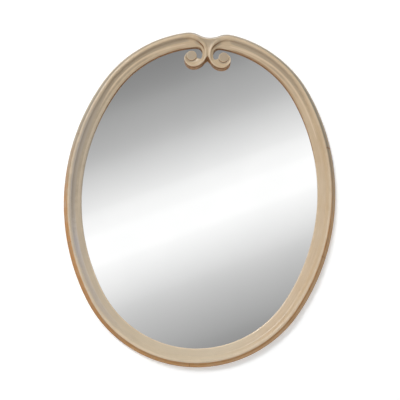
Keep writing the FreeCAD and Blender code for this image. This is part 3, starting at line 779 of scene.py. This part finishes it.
# each face's place in the list of segments
def segmentOf(centres):
    x, z = centres[:, 0], centres[:, 2]
    angle = numpy.arctan2(z, numpy.abs(x) - oval["sideCentreX"])
    row = numpy.where(angle > oval["stileHalfAngle"], 0, numpy.where(angle < -oval["stileHalfAngle"], 4, 2))
    return row + (x > 0)


def closeEnds(mesh):
    work = bmesh.new()
    work.from_mesh(mesh)
    rims = [edge for edge in work.edges if edge.is_boundary]
    for spot, normal, _ in jointPlanes():
        across = Vector(normal)
        plane = across.dot(Vector(spot))
        rim = [edge for edge in rims
               if all(abs(point.co.dot(across) - plane) < carving["flush"] for point in edge.verts)]
        if rim:
            bmesh.ops.triangle_fill(work, use_beauty=True, edges=rim)
    bmesh.ops.recalc_face_normals(work, faces=work.faces)
    work.to_mesh(mesh)
    work.free()


def addCarvedSegments(skin):
    cutAtJoints(skin)
    spots, normals = readVectors(skin.vertices, "co"), readVectors(skin.vertices, "normal")
    around = neighbourMean(skin)
    measures = wearMeasures(spots, normals, around)
    # the edge measure also carries the painted highlights and painted shade of the handled runs
    measures["edge"] = edgeMeasure(spots, normals, around) + handledRunsAndPaintedLight(spots)
    runs = runOf(spots)
    owner = segmentOf(readVectors(skin.polygons, "center"))
    corners = readIndices(skin.loops, "vertex_index")
    starts, sizes = readIndices(skin.polygons, "loop_start"), readIndices(skin.polygons, "loop_total")
    for index, name in enumerate(segments):
        own = numpy.flatnonzero(owner == index)
        used = numpy.zeros(len(spots), dtype=bool)
        faces = [corners[start:start + size] for start, size in zip(starts[own], sizes[own])]
        used[numpy.concatenate(faces)] = True
        renumber = numpy.cumsum(used) - 1
        piece = newPiece("carved_" + name, spots[used], [renumber[face] for face in faces])
        mesh = piece.data
        for label, values in measures.items():
            attribute = mesh.attributes.new(label, "FLOAT", "POINT")
            attribute.data.foreach_set("value", values[used].astype(numpy.float32))
        attribute = mesh.attributes.new("run", "FLOAT_VECTOR", "POINT")
        attribute.data.foreach_set("vector", runs[used].astype(numpy.float32).ravel())
        closeEnds(mesh)
        mesh.shade_smooth()
        mesh.materials.append(paint)
        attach(piece, "frame")
        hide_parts(name)
        print(piece.name, len(mesh.polygons), "faces")


addCarvedSegments(skin)
bpy.data.meshes.remove(skin)

# silvered glass, with a faint film and specks of dust
glassLook = {
    "clear": (0.955, 0.958, 0.955), "filmed": (0.935, 0.940, 0.938), "haze": (0.0, 0.012),
    "film": {"Patch Size": 0.16, "Seed": 3.0}, "specks": {"Patch Size": 0.004, "Seed": 9.0},
}


def silveredGlass():
    look = glassLook
    material, tree, out = newMaterial("silveredGlass")
    place = objectPlace(tree)
    film = placeGroup(tree, patches, -2, 0, place, look["film"])
    specks = placeGroup(tree, patches, -2, 2, place, look["specks"])
    tint = mixColours(tree, 2, 0, look["clear"], look["filmed"], (film, "Mask"))
    haze = remap(tree, 2, 2, (specks, "Mask"), onto=look["haze"])
    shader = makeNode(tree, "ShaderNodeBsdfPrincipled", 8, 0, {
        "Metallic": 1.0, "Base Color": (tint, 2), "Roughness": (haze, 0)})
    join(tree, shader, 0, out, "Surface")
    return material


# hardboard: pressed brown fibre, with the screen print of its rough side
boardLook = {
    "fibre": (0.235, 0.130, 0.062), "pale": (0.345, 0.210, 0.110), "dark": (0.120, 0.062, 0.030),
    "felted": {"Length": 0.012, "Width": 0.0012}, "cloud": {"Patch Size": 0.09, "Seed": 4.0},
    "fleck": {"Patch Size": 0.0035, "Seed": 6.0}, "stainShare": 0.35, "fleckShare": 0.3,
    "screenPitch": 0.0018, "wavePitch": 0.314,  # the Wave texture's own, at a scale of 1
    "wobble": 0.6, "rough": (0.62, 0.82), "fineRelief": 0.5, "reliefStrength": 0.5, "reliefDepth": 0.0002,
}


def hardboard():
    look = boardLook
    material, tree, out = newMaterial("hardboard")
    place = objectPlace(tree)
    upright = (math.radians(90), 0, 0)  # its face lies in x and z
    swap = makeNode(tree, "ShaderNodeMapping", -5, 0, {"Vector": place, "Rotation": upright})
    felted = placeGroup(tree, streaks, -3, 0, (swap, 0), look["felted"])
    cloud = placeGroup(tree, patches, -3, 1, place, look["cloud"])
    fleck = placeGroup(tree, patches, -3, 2, place, look["fleck"])
    tone = mixColours(tree, -1, 0, look["fibre"], look["pale"], (felted, "Mask"))
    stained = mixColours(tree, 1, 0, tone, look["dark"], (cloud, "Mask"), look["stainShare"])
    colour = mixColours(tree, 3, 0, stained, look["dark"], (fleck, "Mask"), look["fleckShare"])
    weave = {"Vector": place, "Scale": look["wavePitch"] / look["screenPitch"], "Distortion": look["wobble"]}
    prints = [(makeNode(tree, "ShaderNodeTexWave", 1, row, weave, bands_direction=axis), "Fac")
              for row, axis in ((4, "X"), (5, "Z"))]
    screen = calculate(tree, 3, 4, "MAXIMUM", *prints)
    rough = remap(tree, 5, 2, (felted, "Fine"), onto=look["rough"])
    relief = calculate(tree, 5, 4, "MULTIPLY_ADD", (felted, "Fine"), look["fineRelief"], (screen, 0))
    finishSurface(tree, out, look, colour, rough, (relief, 0))
    return material


# raw wood, card and felt: a streaked or flecked colour with a little relief
rawLook = {
    "beech": {"light": (0.560, 0.370, 0.200), "dark": (0.410, 0.245, 0.120), "rough": (0.45, 0.62),
              "fibre": {"Length": 0.03, "Width": 0.0008, "Seed": 1.0}, "reliefDepth": 0.00008},
    "deal": {"light": (0.600, 0.420, 0.235), "dark": (0.430, 0.270, 0.130), "rough": (0.55, 0.72),
             "fibre": {"Length": 0.05, "Width": 0.0012, "Seed": 1.0}, "reliefDepth": 0.0001},
    "greyboard": {"light": (0.400, 0.335, 0.250), "dark": (0.280, 0.225, 0.160), "rough": (0.75, 0.9),
                  "fibre": {"Length": 0.005, "Width": 0.003, "Seed": 1.0}, "reliefDepth": 0.00006},
    "felt": {"light": (0.085, 0.072, 0.060), "dark": (0.030, 0.026, 0.022), "rough": (0.85, 1.0),
             "fibre": {"Length": 0.0022, "Width": 0.0005, "Seed": 1.0}, "reliefDepth": 0.0004, "sheen": 0.45},
}
rawShared = {
    "cloud": {"Patch Size": 0.03, "Seed": 8.0}, "ageShare": 0.25, "reliefStrength": 0.6, "sheen": 0.0,
}


def rawMaterial(name):
    look = {**rawShared, **rawLook[name]}
    material, tree, out = newMaterial(name)
    place = objectPlace(tree)
    fibre = placeGroup(tree, streaks, -3, 0, place, look["fibre"])
    cloud = placeGroup(tree, patches, -3, 1, place, look["cloud"])
    tone = mixColours(tree, 0, 0, look["light"], look["dark"], (fibre, "Mask"))
    colour = mixColours(tree, 2, 0, tone, look["dark"], (cloud, "Mask"), look["ageShare"])
    rough = remap(tree, 4, 2, (fibre, "Fine"), onto=look["rough"])
    finishSurface(tree, out, look, colour, rough, (fibre, "Fine"), {"Sheen Weight": look["sheen"]})
    return material


# zinc plate: bright grey spangle, dulled in patches and finely scratched
zincLook = {
    "bright": (0.440, 0.448, 0.450), "dull": (0.215, 0.218, 0.212), "spangle": 0.0022, "spangleShare": 0.7,
    "patch": {"Patch Size": 0.006, "Seed": 2.5}, "tarnishShare": 0.5, "rough": (0.30, 0.52),
    "scratch": {"Length": 0.02, "Width": 0.00012, "Seed": 3.5}, "reliefStrength": 0.3, "reliefDepth": 0.00003,
}


def zincSteel():
    look = zincLook
    material, tree, out = newMaterial("zincSteel")
    place = objectPlace(tree)
    crystal = makeNode(tree, "ShaderNodeTexVoronoi", -3, 0, {"Vector": place, "Scale": 1 / look["spangle"]})
    dull = placeGroup(tree, patches, -3, 1, place, look["patch"])
    lines = placeGroup(tree, streaks, -3, 2, place, look["scratch"])
    grey = makeNode(tree, "ShaderNodeRGBToBW", -1, 0, {0: (crystal, "Color")})
    spangle = mixColours(tree, 3, 0, look["bright"], look["dull"], (grey, 0), look["spangleShare"])
    colour = mixColours(tree, 5, 0, spangle, look["dull"], (dull, "Mask"), look["tarnishShare"])
    rough = remap(tree, 5, 2, (dull, "Mask"), onto=look["rough"])
    finishSurface(tree, out, look, colour, rough, (lines, "Fine"), {"Metallic": 1.0})
    return material


zinc = zincSteel()
felt = rawMaterial("felt")
beech = rawMaterial("beech")
finishes = {
    "mirror_plate": silveredGlass(), "backboard": hardboard(), "backing_card": rawMaterial("greyboard"),
    "edge_shims": rawMaterial("deal"), "left_hanger_ring": zinc, "right_hanger_ring": zinc,
    "left_hanger_strap": zinc, "right_hanger_strap": zinc,
}
for joint in ("crest", "upper_left", "upper_right", "lower_left", "lower_right", "bottom"):
    finishes[joint + "_dowels"] = beech
for name, material in finishes.items():
    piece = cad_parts[name]
    if not piece.material_slots:
        piece.data.materials.append(material)
    for slot in piece.material_slots:
        slot.material = material
print("glass, board, dowels and hangers finished")


# screws and pads: one pattern each, set out on points by a node tree
def makeSetOut():
    tree, start = newGeometryTree("setOut", (("Pattern", "Object"), ("Turn", "Float"), ("Seed", "Int")))
    pattern = makeNode(tree, "GeometryNodeObjectInfo", -2, 1, {"Object": (start, "Pattern")})
    # input 3 of a Random Value node is the upper end of its float range, and output 1 the float
    turn = makeNode(tree, "FunctionNodeRandomValue", -2, 3, {3: (start, "Turn"), "Seed": (start, "Seed")},
                    data_type="FLOAT")
    spin = makeNode(tree, "ShaderNodeCombineXYZ", 0, 3, {"Y": (turn, 1)})
    place = makeNode(tree, "GeometryNodeInstanceOnPoints", 2, 0, {
        "Points": (start, "Geometry"), "Instance": (pattern, "Geometry"), "Rotation": (spin, 0)})
    return endGeometryTree(tree, start, place)


setOut = makeSetOut()
sharpFrom = math.radians(35)  # an edge of a screw or pad that turns more stays crisp


def newSolid(name, points, faces):
    solid = newPiece(name, points, faces)
    work = bmesh.new()
    work.from_mesh(solid.data)
    bmesh.ops.recalc_face_normals(work, faces=work.faces)
    work.to_mesh(solid.data)
    work.free()
    return solid


# a solid turned about the Y axis from (radius, y) pairs, which start and end on the axis
def turnedPattern(name, outline, steps):
    points = [(0, y, 0) for radius, y in (outline[0], outline[-1])]
    rings = outline[1:-1]
    for radius, y in rings:
        for step in range(steps):
            angle = 2 * math.pi * step / steps
            points.append((radius * math.cos(angle), y, radius * math.sin(angle)))
    faces = []
    last = 2 + (len(rings) - 1) * steps
    for step in range(steps):
        after = (step + 1) % steps
        faces.append((0, 2 + step, 2 + after))
        faces.append((1, last + after, last + step))
        for ring in range(len(rings) - 1):
            low, high = 2 + ring * steps, 2 + (ring + 1) * steps
            faces.append((low + step, high + step, high + after, low + after))
    return newSolid(name, points, faces)


# a screwdriver slot whose mouth flares a little, cut across the head along X
def cutSlot(pattern, top, screw):
    half, depth, flare = screw["slotWidth"] / 2, screw["slotDepth"], screw["slotWidth"] * screw["slotFlare"]
    rim = [(-depth, half), (-flare, half), (flare, half + flare * 2)]
    rim += [(y, -z) for y, z in reversed(rim)]
    count = len(rim)
    faces = [(step, (step + 1) % count, count + (step + 1) % count, count + step) for step in range(count)]
    faces += [tuple(range(count)), tuple(range(count, count * 2))]
    reach = screw["headRadius"] * 2
    slot = newSolid("slot", [(x, top + y, z) for x in (-reach, reach) for y, z in rim], faces)
    cut = pattern.modifiers.new("slot", "BOOLEAN")
    cut.object = slot
    cut.solver = "EXACT"
    done = plainMesh(pattern)
    pattern.modifiers.clear()
    pattern.data = done
    bpy.data.objects.remove(slot)


def addSet(name, pattern, places, turn, seed, material, node):
    piece = newPiece(name, places, [])
    spread = piece.modifiers.new("setOut", "NODES")
    spread.node_group = setOut
    setInputs(spread, {"Pattern": pattern, "Turn": turn, "Seed": seed, "Material": material})
    done = plainMesh(piece)
    piece.modifiers.clear()
    piece.data = done
    piece.data.shade_smooth()
    piece.data.set_sharp_from_angle(angle=sharpFrom)
    bpy.data.objects.remove(pattern)
    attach(piece, "frame")
    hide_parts(node)
    print(piece.name, len(places), "set out")


def bothHands(places):
    return [(hand * x, y, z) for hand in (1, -1) for x, y, z in places]


# the rings of a thread, from its start down to the point
def threadRings(screw, top):
    rings, y = [], top
    shank, pitch = screw["shank"], screw["threadPitch"]
    while y - pitch > shank - screw["length"]:
        rings += [(shank, y), (shank - screw["threadDepth"], y - pitch / 2)]
        y -= pitch
    return rings + [(shank, y), (0, -screw["length"])]


# flat heads, sunk in the board; the rim is in shares of the head's radius
boardScrew = {
    "inset": 0.036, "sideAngles": (-23.0, -7.5, 7.5, 23.0), "endAngles": (16.0, 45.0), "sides": 24, "seed": 5,
    "headRadius": 0.0032, "headRim": ((0.6, 0), (0.97, -0.00004), (1, -0.00014)),
    "shank": 0.0015, "length": 0.014, "plainShank": 0.001, "threadPitch": 0.0012, "threadDepth": 0.0003,
    "slotWidth": 0.0008, "slotDepth": 0.0007, "slotFlare": 0.16,
}


def addBoardScrews():
    screw = boardScrew
    coneEnd = screw["shank"] - screw["headRadius"]
    outline = [(0, 0)] + [(screw["headRadius"] * share, y) for share, y in screw["headRim"]]
    outline += [(screw["shank"], coneEnd)] + threadRings(screw, coneEnd - screw["plainShank"])
    pattern = turnedPattern("boardScrewPattern", outline, screw["sides"])
    cutSlot(pattern, 0, screw)
    spots = [sidePoint(screw["inset"], math.radians(angle)) for angle in screw["sideAngles"]]
    for angle in screw["endAngles"]:
        x, z = endPoint(screw["inset"], math.radians(angle))
        spots += [(x, z), (x, -z)]
    places = bothHands([(x, oval["backY"], z) for x, z in spots])
    addSet("board_screws", pattern, places, math.pi, screw["seed"], zinc, "backboard_screws")


# domed heads, on the straps
strapScrew = {
    "x": 0.34827, "strapFace": -0.0048, "pivotZ": 0.12248, "drops": (0.0239, 0.0369), "sides": 24, "seed": 8,
    "headRadius": 0.0034, "headHeight": 0.002, "headSteps": 6,
    "shank": 0.0016, "length": 0.016, "plainShank": 0.002, "threadPitch": 0.0013, "threadDepth": 0.0003,
    "slotWidth": 0.0008, "slotDepth": 0.0007, "slotFlare": 0.16,
}


def addStrapScrews():
    screw = strapScrew
    head, rise, steps = screw["headRadius"], screw["headHeight"], screw["headSteps"]
    outline = [(0, rise)]
    for step in range(1, steps + 1):
        angle = math.radians(90 * step / steps)
        outline.append((head * math.sin(angle), rise * math.cos(angle)))
    outline += [(screw["shank"], 0)] + threadRings(screw, -screw["plainShank"])
    pattern = turnedPattern("strapScrewPattern", outline, screw["sides"])
    cutSlot(pattern, rise, screw)
    places = bothHands([(screw["x"], screw["strapFace"], screw["pivotZ"] - drop) for drop in screw["drops"]])
    addSet("strap_screws", pattern, places, math.pi, screw["seed"], zinc, "hanger_screws")


# felt pads, rounded on the side towards the wall and a little pressed in at the waist
feltPad = {
    "inset": 0.015, "angle": math.radians(38.0), "sides": 36, "seed": 3,
    "radius": 0.009, "thickness": 0.006, "middle": 0.5, "waist": 0.985, "round": 0.0008, "gluedRound": 0.3,
}


def addFeltPads():
    pad = feltPad
    radius, depth, curve = pad["radius"], pad["thickness"], pad["round"]
    flat = radius - curve
    outline = [(0, depth), (radius * pad["middle"], depth), (flat, depth)]
    for angle in (math.radians(30), math.radians(60)):
        outline.append((flat + curve * math.sin(angle), depth - curve + curve * math.cos(angle)))
    outline += [(radius, depth - curve), (radius * pad["waist"], depth * pad["middle"]), (radius, curve)]
    outline += [(radius - curve * pad["gluedRound"], 0), (0, 0)]
    pattern = turnedPattern("feltPattern", outline, pad["sides"])
    x, z = endPoint(pad["inset"], pad["angle"])
    places = bothHands([(x, oval["backY"], z), (x, oval["backY"], -z)])
    addSet("felt_pads", pattern, places, math.pi, pad["seed"], felt, "wall_pads")


addBoardScrews()
addStrapScrews()
addFeltPads()
